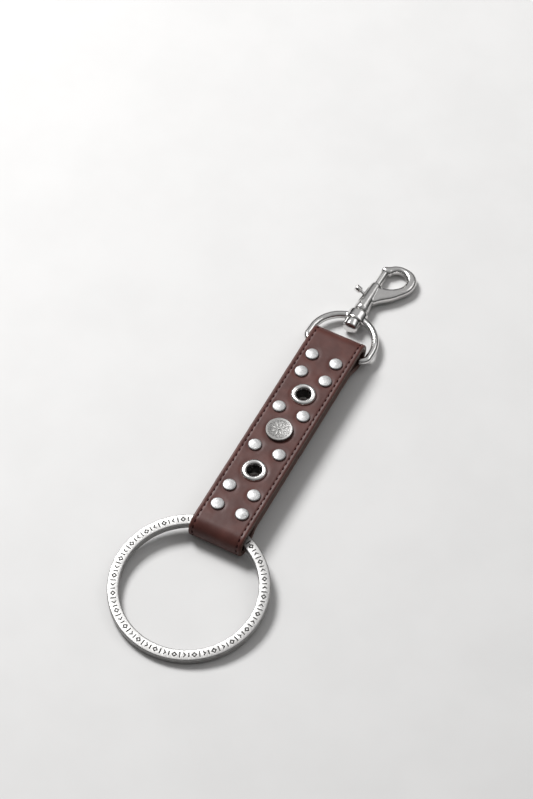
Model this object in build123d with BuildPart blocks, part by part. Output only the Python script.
from build123d import *
import math
import os

# Strap key fob: a folded two-ply leather strap with a flat split ring in one end
# and a swivel trigger snap in the other. Millimetres, +Z up, strap along +Y.
# The fob lies at rest on Z = 0. Every place along the strap is counted from the stud.

# ---- strap ----
strap_width = 25.0
face_ply = 1.7
lining_ply = 1.7
ply_gap = 0.1            # between the two runs of the strap
fold_ply = 2.6           # both plies together where they are skived for the fold
loop_room = 1.35         # room round the bow's wire inside a fold
ring_end = -60.5         # outside of the ring fold
snap_end = 61.3          # outside of the snap fold
ring_wedge = 9.7         # from the hollow's centre to where the two runs meet
snap_wedge = 11.7
seam_at = -5.7           # butt joint in the lower run
seam_gap = 0.4
bend_radius = 2.0        # where the lower run turns down
cut_past = 1.0           # how far a cutting shape runs past what it cuts

# ---- stitching ----
stitch_inset = 1.9
thread = 0.6
groove_width = 0.8
groove_depth = 0.5
thread_sunk = 0.05       # below the leather's surface
thread_end = 0.2         # groove left open past each end of a thread

# ---- rivets ----
rivet_rows = [43.1, 32.6, 11.3, -11.5, -35.0, -45.8]
rivet_spacing = 11.8
rivet_cap_radius = 3.0
rivet_cap_rim = 0.2
rivet_cap_height = 1.15
rivet_post_radius = 1.2
rivet_tail_radius = 2.25
rivet_tail_height = 0.8
post_socket = 0.45       # how far a post reaches into its cap
hole_clearance = 0.05
seat_clearance = 0.15

# ---- eyelets ----
eyelets = [("upper", 0.7, 21.9), ("lower", 0.0, -23.5)]
eyelet_bore = 3.25
eyelet_wall = 0.35
eyelet_flange_radius = 5.65
eyelet_flange_height = 1.2
eyelet_roll_radius = 4.6
eyelet_roll_height = 0.6
eyelet_washer_radius = 5.6
eyelet_washer_height = 0.6
eyelet_washer_edge = 0.2
eyelet_lip = 0.45        # height of the bore's rounded mouth, as a share of the flange
eyelet_crown = 1.0       # from the bore to the top of the flange's round
eyelet_bulge = 0.6       # from the bore to the lowest point of the rolled end
eyelet_roll_lip = 0.2

# ---- stud ----
stud_radius = 5.95
stud_height = 1.5
stud_rim_width = 0.9
stud_field_depth = 0.25
stud_edge = 0.5
stud_post_radius = 1.7
stud_base_radius = 4.2
stud_base_height = 0.8
stud_base_edge = 0.25
stud_field_slope = 0.2

# ---- split ring ----
ring_mid_radius = 32.1
ring_face = 5.1          # width of the flat wire
ring_aside = 0.8         # how far the ring has slipped to one side in its loop
coil_height = 1.77
coil_gap = 0.06
coil_bevel = 0.5         # on the faces that show
coil_groove = 0.18       # on the faces that meet
jog_angle = 16.0         # where the wire steps from one coil to the other
jog_level = 4.0          # half length of the step, along the wire
jog_overlap = 5.1
ring_clearance = 0.25

# ---- swivel bow ----
bar_inset = 0.9          # the bar's centre behind the centre of the fold's hollow
bar_clearance = 0.55     # under the bar
bow_wire = 1.75          # radius of the bow's wire
bow_side_gap = 0.95      # between the strap's edge and the wire beside it
bow_corner = 3.4
bow_straight = 3.0
boss_half_width = 4.7    # the boss is wider than it is tall
boss_half_height = 3.65
boss_behind = 2.8        # the boss's two faces, from the wire's line at the bow's crown
boss_ahead = 2.8
boss_edge = 0.6
shank_radius = 1.6
running_clearance = 0.08

# ---- swivel pin and washer ----
head_radius = 3.7
head_length = 4.8
head_dome = 2.3
head_edge = 0.5
head_flat = 0.8          # radius of the head's underside, as a share of the head's
head_gap = 0.3
shank_end_gap = 0.3      # between the shank's end and the spring
washer_radius = 2.9
washer_height = 0.45
washer_gap = 0.1

# ---- snap ----
barrel_radius = 3.55
bead_radius = 3.65
bead_length = 1.0
bead_edge = 0.35
neck_depth = 0.25        # groove behind the bead
neck_length = 0.5
mouth_edge = 0.3
mouth_radius = 2.75
barrel_length = 17.5
base_wall = 1.9
bolt_radius = 1.75
bolt_travel = 4.0
bolt_edge = 0.5
hook_half_height = 2.3
hook_reach = 32.45       # this and the next ones are counted from the barrel's base
tip_face = 25.85         # near side of the hook's tip
knob_at = 9.35
tip_pocket = 1.1
bolt_end_gap = 0.2
shank_fit = 0.02
slot_width = 1.7
slot_ahead = 3.6         # slot left open in front of the post
slot_end_gap = 0.15
knob_angle = 148.0
knob_post_radius = 0.75
knob_neck = 5.2          # distances from the bolt's axis
knob_top = 8.1
knob_radius = 1.55
knob_edge = 0.45
knob_fit = 0.01
knob_foot_gap = 0.05
spring_length = 6.0
spring_end_gap = 0.05
spring_wire = 0.17
spring_radius = 1.35
spring_turns = 5

# ---- sizes that follow ----
layer = face_ply + lining_ply
hollow_radius = bow_wire + loop_room
hollow_top = fold_ply + 2 * hollow_radius
strap_top = hollow_top + layer
drop = hollow_top - layer - ply_gap   # how far the lower run sinks at each end
fold_radius = strap_top / 2
stitch_x = strap_width / 2 - stitch_inset
ring_inner = ring_mid_radius - ring_face / 2
ring_outer = ring_mid_radius + ring_face / 2
ring_height = 2 * coil_height + coil_gap
edge_reach = math.sqrt(ring_inner**2 - (strap_width / 2 + ring_aside) ** 2)
tilt_ring = math.asin((hollow_top - ring_clearance - ring_height) / (2 * ring_outer))
ring_from_stud = ring_end + fold_ply + ring_clearance - edge_reach
ring_z = ring_outer * math.sin(tilt_ring) + ring_height / 2 * math.cos(tilt_ring)
bar_at = snap_end - fold_ply - hollow_radius - bar_inset
bar_z = fold_ply + bow_wire + bar_clearance
bow_half_width = strap_width / 2 + bow_side_gap + bow_wire
bow_rise = bow_corner + bow_straight
bow_crown = bow_rise + bow_half_width
boss_inner = bow_crown - boss_behind
boss_outer = bow_crown + boss_ahead
barrel_start = boss_outer + 2 * washer_gap + washer_height
cavity_start = barrel_start + base_wall
bolt_start = cavity_start + spring_length
pocket_end = barrel_start + tip_face + tip_pocket
bolt_end = pocket_end - bolt_end_gap
tilt_snap = math.asin((bar_z - hook_half_height) / (barrel_start + hook_reach))
near_end = ring_from_stud - ring_outer * math.cos(tilt_ring)
far_end = bar_at + (barrel_start + hook_reach) * math.cos(tilt_snap)
stud_y = -(near_end + far_end) / 2   # the origin is the middle of the whole fob

# ---- frames ----
ring_plane = Plane(
    origin=(ring_aside, stud_y + ring_from_stud, ring_z),
    x_dir=(1, 0, 0),
    z_dir=(0, -math.sin(tilt_ring), math.cos(tilt_ring)),
)
snap_plane = Plane(
    origin=(0, stud_y + bar_at, bar_z),
    x_dir=(1, 0, 0),
    z_dir=(0, math.sin(tilt_snap), math.cos(tilt_snap)),
)
snap_axis = Axis(snap_plane.origin, snap_plane.y_dir)
barrel_base = snap_plane.from_local_coords(Vector(0, barrel_start, 0))
body_plane = Plane(origin=barrel_base, x_dir=snap_plane.x_dir, z_dir=snap_plane.z_dir)


def across_snap(distance):
    """The plane square to the snap's axis, so far from the bow's bar."""
    start = snap_plane.from_local_coords(Vector(0, distance, 0))
    return Plane(origin=start, x_dir=(1, 0, 0), z_dir=snap_plane.y_dir)


def stud_plane(x, along, z):
    """A level plane over one point of the strap."""
    return Plane(origin=(x, stud_y + along, z))


def upright(x, along):
    """The upright plane through one fastener, for turned profiles."""
    return Plane(origin=(x, stud_y + along, 0), x_dir=(1, 0, 0), z_dir=(0, -1, 0))


def dome_point(radius, low, high):
    """A point half-way up the round of a dome whose rim is at low and top at high."""
    rise = high - low
    ball = (radius**2 + rise**2) / (2 * abs(rise))
    half = math.asin(radius / ball) / 2
    return ball * math.sin(half), high - math.copysign(ball * (1 - math.cos(half)), rise)


def finish(piece, name):
    piece.part.label = name
    export_step(piece.part, "parts/" + name + ".step")


os.makedirs("parts", exist_ok=True)


# ---- the split ring's wire, and the channel that it needs in the strap ----
half_height = ring_height / 2
ring_axis = Axis(ring_plane.origin, ring_plane.z_dir)


def wire_section(start_angle, low, high, low_bevel, high_bevel, grow=0.0):
    """The wire's section between two heights, at this angle round the ring, grown all round."""
    start = math.radians(start_angle)
    outward = ring_plane.x_dir * math.cos(start) + ring_plane.y_dir * math.sin(start)
    tangent = outward.cross(ring_plane.z_dir)
    inner = ring_inner - grow
    outer = ring_outer + grow
    low = low - grow
    high = high + grow
    with BuildSketch(Plane(origin=ring_plane.origin, x_dir=outward, z_dir=tangent)) as wire:
        with BuildLine():
            Polyline(
                (inner, low + low_bevel),
                (inner + low_bevel, low),
                (outer - low_bevel, low),
                (outer, low + low_bevel),
                (outer, high - high_bevel),
                (outer - high_bevel, high),
                (inner + high_bevel, high),
                (inner, high - high_bevel),
                close=True,
            )
        make_face()
    return wire.sketch


def cut_ring_channel():
    """Room for the ring to turn, where it presses into the loop."""
    channel = wire_section(0, -half_height, half_height, coil_bevel, coil_bevel, ring_clearance)
    revolve(channel, axis=ring_axis, revolution_arc=360, mode=Mode.SUBTRACT)


# ---- strap: two plies folded into one loop ----
def fold_slope(wedge):
    return 2 * math.atan(hollow_radius / wedge)


def lower_points(end, side, wedge, inset):
    """Where the lower run leaves its fold and where it turns level."""
    slope = fold_slope(wedge)
    radius = fold_radius - inset
    centre = stud_y + end - side * fold_radius
    leave_y = centre - side * radius * math.sin(slope)
    leave_z = fold_radius - radius * math.cos(slope)
    run = (drop + inset - leave_z) / math.tan(slope)
    return centre, (leave_y, leave_z), (leave_y - side * run, drop + inset)


def loop_profile(inset):
    """Side view of the whole folded strap, its surface moved in by inset."""
    top = strap_top - inset
    centre_r, leave_r, foot_r = lower_points(ring_end, -1, ring_wedge, inset)
    centre_s, leave_s, foot_s = lower_points(snap_end, 1, snap_wedge, inset)
    apex_r = (stud_y + ring_end + inset, fold_radius)
    apex_s = (stud_y + snap_end - inset, fold_radius)
    with BuildSketch(Plane.YZ) as profile:
        with BuildLine():
            Line(foot_r, foot_s)
            Line(foot_s, leave_s)
            ThreePointArc(leave_s, apex_s, (centre_s, top))
            Line((centre_s, top), (centre_r, top))
            ThreePointArc((centre_r, top), apex_r, leave_r)
            Line(leave_r, foot_r)
        make_face()
        feet = [v for v in profile.vertices() if abs(v.Z - drop - inset) < 0.01]
        fillet(feet, radius=bend_radius + inset)
    return profile.sketch


def hollow_profile(end, side, wedge):
    """Side view of the hollow that one fold leaves."""
    slope = fold_slope(wedge)
    centre = stud_y + end - side * (fold_ply + hollow_radius)
    middle = fold_ply + hollow_radius
    tip = (centre - side * wedge, hollow_top)
    low = (centre - side * hollow_radius * math.sin(slope), middle - hollow_radius * math.cos(slope))
    with BuildSketch(Plane.YZ) as profile:
        with BuildLine():
            Line(tip, (centre, hollow_top))
            ThreePointArc((centre, hollow_top), (centre + side * hollow_radius, middle), low)
            Line(low, tip)
        make_face()
    return profile.sketch


def bore(x, along, radius, height):
    """A hole up from the floor through the part being built."""
    with BuildSketch(stud_plane(x, along, 0)) as hole:
        Circle(radius)
    extrude(hole.sketch, amount=height, mode=Mode.SUBTRACT)


def cut_fasteners():
    """Holes for posts, eyelets and the stud, and seats for the rivet tails."""
    for along in rivet_rows:
        for x in (-rivet_spacing / 2, rivet_spacing / 2):
            bore(x, along, rivet_post_radius + hole_clearance, strap_top)
            bore(x, along, rivet_tail_radius + seat_clearance, drop)
    for name, x, along in eyelets:
        bore(x, along, eyelet_bore + eyelet_wall + hole_clearance, strap_top)
    bore(0, 0, stud_post_radius + hole_clearance, strap_top)


def cut_seam():
    """The butt joint, where the two ends of the folded strip meet underneath."""
    with BuildSketch(stud_plane(0, seam_at, 0)) as joint:
        Rectangle(strap_width + 2 * cut_past, seam_gap)
    extrude(joint.sketch, amount=hollow_top - ply_gap / 2, mode=Mode.SUBTRACT)


flat_start = stud_y + ring_end + fold_radius
flat_end = stud_y + snap_end - fold_radius
under_start = lower_points(ring_end, -1, ring_wedge, 0)[2][0] + bend_radius
under_end = lower_points(snap_end, 1, snap_wedge, 0)[2][0] - bend_radius


def thread_runs(width, inset):
    """Rectangles over both straight thread runs of one side, shortened by inset."""
    runs = []
    for start, end in ((flat_start, flat_end), (under_start, under_end)):
        runs.append(((start + end) / 2, end - start - 2 * inset, width))
    return runs


with BuildPart() as strap_face:
    extrude(loop_profile(0), amount=strap_width / 2, both=True)
    extrude(loop_profile(face_ply), amount=strap_width, both=True, mode=Mode.SUBTRACT)
    cut_fasteners()
    cut_seam()
    for x in (-stitch_x, stitch_x):
        top_run, under_run = thread_runs(groove_width, 0)
        with BuildSketch(Plane(origin=(x, top_run[0], strap_top - groove_depth))):
            Rectangle(top_run[2], top_run[1])
        extrude(amount=groove_depth, mode=Mode.SUBTRACT)
        with BuildSketch(Plane(origin=(x, under_run[0], drop))):
            Rectangle(under_run[2], under_run[1])
        extrude(amount=groove_depth, mode=Mode.SUBTRACT)
finish(strap_face, "strap_face")

with BuildPart() as strap_lining:
    extrude(loop_profile(face_ply), amount=strap_width / 2, both=True)
    for end, side, wedge in ((ring_end, -1, ring_wedge), (snap_end, 1, snap_wedge)):
        extrude(hollow_profile(end, side, wedge), amount=strap_width, both=True, mode=Mode.SUBTRACT)
    gap_start = stud_y + ring_end + fold_ply + hollow_radius
    gap_end = stud_y + snap_end - fold_ply - hollow_radius
    with BuildSketch(Plane.XY.offset(hollow_top - ply_gap)):
        with Locations((0, (gap_start + gap_end) / 2)):
            Rectangle(2 * strap_width, gap_end - gap_start)
    extrude(amount=ply_gap, mode=Mode.SUBTRACT)
    cut_fasteners()
    cut_seam()
    cut_ring_channel()
finish(strap_lining, "strap_lining")

# ---- stitching: one thread above and one below, on each side ----
for side_name, x in (("left", -stitch_x), ("right", stitch_x)):
    top_run, under_run = thread_runs(thread, thread_end)
    with BuildPart() as stitch:
        with BuildSketch(Plane(origin=(x, top_run[0], strap_top - groove_depth))):
            Rectangle(top_run[2], top_run[1])
        extrude(amount=groove_depth - thread_sunk)
        with BuildSketch(Plane(origin=(x, under_run[0], drop + thread_sunk))):
            Rectangle(under_run[2], under_run[1])
        extrude(amount=groove_depth - thread_sunk)
    finish(stitch, "stitch_" + side_name)

# ---- rivets: a domed cap above, a post with its tail below ----
for row, along in enumerate(rivet_rows, start=1):
    for side_name, x in (("left", -rivet_spacing / 2), ("right", rivet_spacing / 2)):
        axis = Axis((x, stud_y + along, 0), (0, 0, 1))
        with BuildPart() as rivet_cap:
            with BuildSketch(upright(x, along)):
                with BuildLine():
                    rim = strap_top + rivet_cap_rim
                    crown = strap_top + rivet_cap_height
                    shoulder = dome_point(rivet_cap_radius, rim, crown)
                    Polyline(
                        (0, crown),
                        (0, strap_top + post_socket),
                        (rivet_post_radius + hole_clearance, strap_top + post_socket),
                        (rivet_post_radius + hole_clearance, strap_top),
                        (rivet_cap_radius, strap_top),
                        (rivet_cap_radius, rim),
                    )
                    ThreePointArc((rivet_cap_radius, rim), shoulder, (0, crown))
                make_face()
            revolve(axis=axis)
        finish(rivet_cap, "rivet_cap_" + side_name + "_" + str(row))
        with BuildPart() as rivet_post:
            with BuildSketch(upright(x, along)):
                with BuildLine():
                    rim = drop - rivet_cap_rim
                    crown = drop - rivet_tail_height
                    Polyline(
                        (0, crown),
                        (0, strap_top + post_socket),
                        (rivet_post_radius, strap_top + post_socket),
                        (rivet_post_radius, drop),
                        (rivet_tail_radius, drop),
                        (rivet_tail_radius, rim),
                    )
                    shoulder = dome_point(rivet_tail_radius, rim, crown)
                    ThreePointArc((rivet_tail_radius, rim), shoulder, (0, crown))
                make_face()
            revolve(axis=axis)
        finish(rivet_post, "rivet_post_" + side_name + "_" + str(row))

# ---- eyelets: a flanged tube rolled over a washer underneath ----
for name, x, along in eyelets:
    axis = Axis((x, stud_y + along, 0), (0, 0, 1))
    washer_low = drop - eyelet_washer_height
    tube = eyelet_bore + eyelet_wall
    with BuildPart() as eyelet:
        with BuildSketch(upright(x, along)):
            with BuildLine():
                crown = (eyelet_bore + eyelet_crown, strap_top + eyelet_flange_height)
                lip = (eyelet_bore, strap_top + eyelet_flange_height * eyelet_lip)
                ThreePointArc(lip, crown, (eyelet_flange_radius, strap_top))
                Polyline(
                    (eyelet_flange_radius, strap_top),
                    (tube, strap_top),
                    (tube, washer_low),
                    (eyelet_roll_radius, washer_low),
                )
                bulge = (eyelet_bore + eyelet_bulge, washer_low - eyelet_roll_height)
                roll_lip = (eyelet_bore, washer_low - eyelet_roll_lip)
                ThreePointArc((eyelet_roll_radius, washer_low), bulge, roll_lip)
                Line(roll_lip, lip)
            make_face()
        revolve(axis=axis)
    finish(eyelet, "eyelet_" + name)
    with BuildPart() as eyelet_washer:
        with BuildSketch(stud_plane(x, along, washer_low)):
            Circle(eyelet_washer_radius)
            Circle(tube + hole_clearance, mode=Mode.SUBTRACT)
        extrude(amount=eyelet_washer_height)
        rims = eyelet_washer.edges().filter_by(GeomType.CIRCLE).group_by(Axis.Z)[0]
        chamfer(rims.sort_by(SortBy.RADIUS)[-1], length=eyelet_washer_edge)
    finish(eyelet_washer, "eyelet_washer_" + name)

# ---- stud: a rimmed disc held by a base and post from below ----
stud_axis = Axis((0, stud_y, 0), (0, 0, 1))
with BuildPart() as emblem_cap:
    with BuildSketch(upright(0, 0)):
        with BuildLine():
            top = strap_top + stud_height
            field = top - stud_field_depth
            field_radius = stud_radius - stud_rim_width
            socket = stud_post_radius + hole_clearance
            Polyline(
                (0, field),
                (0, strap_top + post_socket),
                (socket, strap_top + post_socket),
                (socket, strap_top),
                (stud_radius, strap_top),
                (stud_radius, top - stud_edge),
            )
            round_mid = stud_edge * (1 - math.cos(math.pi / 4))
            edge_mid = (stud_radius - round_mid, top - round_mid)
            ThreePointArc((stud_radius, top - stud_edge), edge_mid, (stud_radius - stud_edge, top))
            Polyline(
                (stud_radius - stud_edge, top),
                (field_radius, top),
                (field_radius - stud_field_slope, field),
                (0, field),
            )
        make_face()
    revolve(axis=stud_axis)
finish(emblem_cap, "emblem_cap")

with BuildPart() as emblem_base:
    with BuildSketch(stud_plane(0, 0, drop - stud_base_height)):
        Circle(stud_base_radius)
    extrude(amount=stud_base_height)
    chamfer(emblem_base.edges().group_by(Axis.Z)[0], length=stud_base_edge)
    with BuildSketch(stud_plane(0, 0, drop)):
        Circle(stud_post_radius)
    extrude(amount=strap_top + post_socket - drop)
finish(emblem_base, "emblem_base")


# ---- split ring: one flat wire in two coils, with a step between them ----
coil_angle = 90 + jog_angle / 2
coil_arc = 360 - jog_angle
with BuildPart() as split_ring:
    step_plane = Plane(origin=ring_plane.origin, x_dir=(1, 0, 0), z_dir=-ring_plane.y_dir)
    with BuildSketch(step_plane):
        with BuildLine():
            Polyline(
                (-jog_overlap, -half_height),
                (-jog_level, -half_height),
                (jog_level, coil_gap / 2),
                (jog_overlap, coil_gap / 2),
                (jog_overlap, half_height),
                (jog_level, half_height),
                (-jog_level, -coil_gap / 2),
                (-jog_overlap, -coil_gap / 2),
                close=True,
            )
        make_face()
    extrude(amount=-(ring_outer + cut_past))
    whole = wire_section(90 - jog_angle / 2, -half_height, half_height, coil_bevel, coil_bevel)
    revolve(whole, axis=ring_axis, revolution_arc=jog_angle, mode=Mode.INTERSECT)
    lower_wire = wire_section(coil_angle, -half_height, -coil_gap / 2, coil_bevel, coil_groove)
    revolve(lower_wire, axis=ring_axis, revolution_arc=coil_arc)
    upper_wire = wire_section(coil_angle, coil_gap / 2, half_height, coil_groove, coil_bevel)
    revolve(upper_wire, axis=ring_axis, revolution_arc=coil_arc)
finish(split_ring, "split_ring")

# ---- swivel bow: a D of round wire with a boss for the swivel ----
with BuildPart() as swivel_bow:
    with BuildLine(snap_plane) as bow_path:
        bend_x = bow_half_width - bow_corner
        low = bow_corner * (1 - math.sin(math.pi / 4))
        out = bend_x + bow_corner * math.sin(math.pi / 4)
        Line((-bend_x, 0), (bend_x, 0))
        ThreePointArc((bend_x, 0), (out, low), (bow_half_width, bow_corner))
        Line((bow_half_width, bow_corner), (bow_half_width, bow_rise))
        ThreePointArc((bow_half_width, bow_rise), (0, bow_crown), (-bow_half_width, bow_rise))
        Line((-bow_half_width, bow_rise), (-bow_half_width, bow_corner))
        ThreePointArc((-bow_half_width, bow_corner), (-out, low), (-bend_x, 0))
    wire_start = snap_plane.from_local_coords(Vector(-bend_x, 0, 0))
    with BuildSketch(Plane(origin=wire_start, x_dir=snap_plane.y_dir, z_dir=snap_plane.x_dir)):
        Circle(bow_wire)
    sweep(path=bow_path.wires()[0])
    with BuildSketch(across_snap(boss_inner)):
        Ellipse(boss_half_width, boss_half_height)
    extrude(amount=boss_outer - boss_inner)
    rims = swivel_bow.edges().filter_by(GeomType.ELLIPSE)
    rims = [e for e in rims if e.length > 2 * math.pi * boss_half_height]
    fillet(rims, radius=boss_edge)
    with BuildSketch(across_snap(boss_inner - cut_past)):
        Circle(shank_radius + running_clearance)
    extrude(amount=boss_outer - boss_inner + 2 * cut_past, mode=Mode.SUBTRACT)
finish(swivel_bow, "swivel_bow")

# ---- swivel pin: domed head inside the bow, shank through the boss ----
head_base = boss_inner - head_gap
with BuildPart() as swivel_pin:
    with BuildSketch(snap_plane):
        with BuildLine():
            crown = head_base - head_length
            rim = crown + head_dome
            Polyline(
                (0, crown),
                (0, cavity_start - shank_end_gap),
                (shank_radius, cavity_start - shank_end_gap),
                (shank_radius, head_base),
                (head_radius * head_flat, head_base),
                (head_radius, head_base - head_edge),
                (head_radius, rim),
            )
            ThreePointArc((head_radius, rim), dome_point(head_radius, rim, crown), (0, crown))
        make_face()
    revolve(axis=snap_axis)
finish(swivel_pin, "swivel_pin")

with BuildPart() as swivel_washer:
    with BuildSketch(across_snap(boss_outer + washer_gap)):
        Circle(washer_radius)
        Circle(shank_radius + running_clearance, mode=Mode.SUBTRACT)
    extrude(amount=washer_height)
finish(swivel_washer, "swivel_washer")

# ---- snap body: tapered barrel and hook in one casting ----
with BuildPart() as snap_body:
    with BuildSketch(body_plane):
        with BuildLine():
            Polyline(
                (0, 0),
                (bead_radius - bead_edge, 0),
                (bead_radius, bead_edge),
                (bead_radius, bead_length - bead_edge),
                (barrel_radius - neck_depth, bead_length),
                (barrel_radius, bead_length + neck_length),
                (mouth_radius, barrel_length - mouth_edge),
                (mouth_radius - mouth_edge, barrel_length),
                (0, barrel_length),
                close=True,
            )
        make_face()
    revolve(axis=snap_axis)
    with BuildSketch(body_plane.offset(-hook_half_height)):
        with BuildLine():
            root_low = (1.0, 6.55)
            shoulder = (15.9, 23.85)
            crown = (7.6, hook_reach)
            tip_top = (0.6, 29.55)
            tip_left = (-2.3, 27.55)
            face_left = (-1.6, tip_face)
            face_right = (2.6, tip_face)
            eye_top = (6.4, 28.95)
            eye_side = (11.3, 23.75)
            eye_low = (2.2, 16.75)
            Line((0, 5.95), root_low)
            Spline(
                root_low,
                (6.0, 9.85),
                (12.2, 16.15),
                shoulder,
                (13.3, 30.35),
                crown,
                (3.0, 31.55),
                tip_top,
                tangents=[(1.0, 0.45), (-1.0, -0.85)],
            )
            Spline(tip_top, (-1.5, 28.85), tip_left, face_left, tangents=[(-1.0, -0.5), (1.0, -1.2)])
            Line(face_left, face_right)
            Spline(
                face_right,
                (3.9, 27.85),
                eye_top,
                (10.1, 27.35),
                eye_side,
                (9.0, 19.55),
                (5.0, 17.25),
                eye_low,
                tangents=[(0.2, 1.0), (-1.0, 0.0)],
            )
            Polyline(eye_low, (0, 15.95), (0, 5.95))
        make_face()
    extrude(amount=2 * hook_half_height)
    with BuildSketch(across_snap(cavity_start)):
        Circle(bolt_radius + running_clearance)
    extrude(amount=pocket_end - cavity_start, mode=Mode.SUBTRACT)
    with BuildSketch(across_snap(barrel_start - cut_past)):
        Circle(shank_radius + shank_fit)
    extrude(amount=base_wall + 2 * cut_past, mode=Mode.SUBTRACT)
    aim = math.radians(knob_angle)
    knob_dir = snap_plane.x_dir * math.cos(aim) + snap_plane.z_dir * math.sin(aim)
    knob_foot = body_plane.from_local_coords(Vector(0, knob_at, 0))
    knob_plane = Plane(origin=knob_foot, x_dir=snap_plane.y_dir, z_dir=knob_dir)
    slot_back = -(bolt_travel + knob_post_radius + slot_end_gap)
    slot_front = knob_post_radius + slot_ahead
    with BuildSketch(knob_plane):
        with Locations(((slot_back + slot_front) / 2, 0)):
            SlotOverall(slot_front - slot_back, slot_width)
    extrude(amount=2 * barrel_radius, mode=Mode.SUBTRACT)
finish(snap_body, "snap_body")

# ---- bolt, its thumb knob and the spring behind it ----
with BuildPart() as bolt:
    with BuildSketch(across_snap(bolt_start)):
        Circle(bolt_radius)
    extrude(amount=bolt_end - bolt_start)
    far_rim = bolt.edges().filter_by(GeomType.CIRCLE).sort_by(Axis.Y)[-1]
    fillet(far_rim, radius=bolt_edge)
    with BuildSketch(knob_plane):
        Circle(knob_post_radius + knob_fit)
    extrude(amount=2 * bolt_radius, mode=Mode.SUBTRACT)
finish(bolt, "bolt")

with BuildPart() as thumb_knob:
    with BuildSketch(knob_plane.offset(knob_foot_gap)):
        Circle(knob_post_radius)
    extrude(amount=knob_neck)
    with BuildSketch(knob_plane.offset(knob_neck)):
        Circle(knob_radius)
    extrude(amount=knob_top - knob_neck)
    rims = thumb_knob.edges().filter_by(GeomType.CIRCLE)
    rims = [e for e in rims if abs(e.radius - knob_radius) < 0.01]
    fillet(rims, radius=knob_edge)
finish(thumb_knob, "thumb_knob")

with BuildPart() as bolt_spring:
    spring_rise = spring_length - 2 * (spring_wire + spring_end_gap)
    coil_foot = cavity_start + spring_wire + spring_end_gap
    coil_start = snap_plane.from_local_coords(Vector(0, coil_foot, 0))
    with BuildLine():
        turn = Helix(
            pitch=spring_rise / spring_turns,
            height=spring_rise,
            radius=spring_radius,
            center=coil_start,
            direction=snap_plane.y_dir,
        )
    with BuildSketch(Plane(origin=turn @ 0, z_dir=turn % 0)):
        Circle(spring_wire)
    sweep(path=turn, is_frenet=True)
finish(bolt_spring, "bolt_spring")

barrel_end = barrel_start + barrel_length
print("origin to stud centre", round(stud_y, 3))
print("ring centre", [round(v, 3) for v in ring_plane.origin], "tilt", round(math.degrees(tilt_ring), 3))
print("bow bar", [round(v, 3) for v in snap_plane.origin], "tilt", round(math.degrees(tilt_snap), 3))
print("snap distances", [round(v, 2) for v in (barrel_start, barrel_end, cavity_start, bolt_start, bolt_end)])
print("strap top", round(strap_top, 3), "hollow top", round(hollow_top, 3))
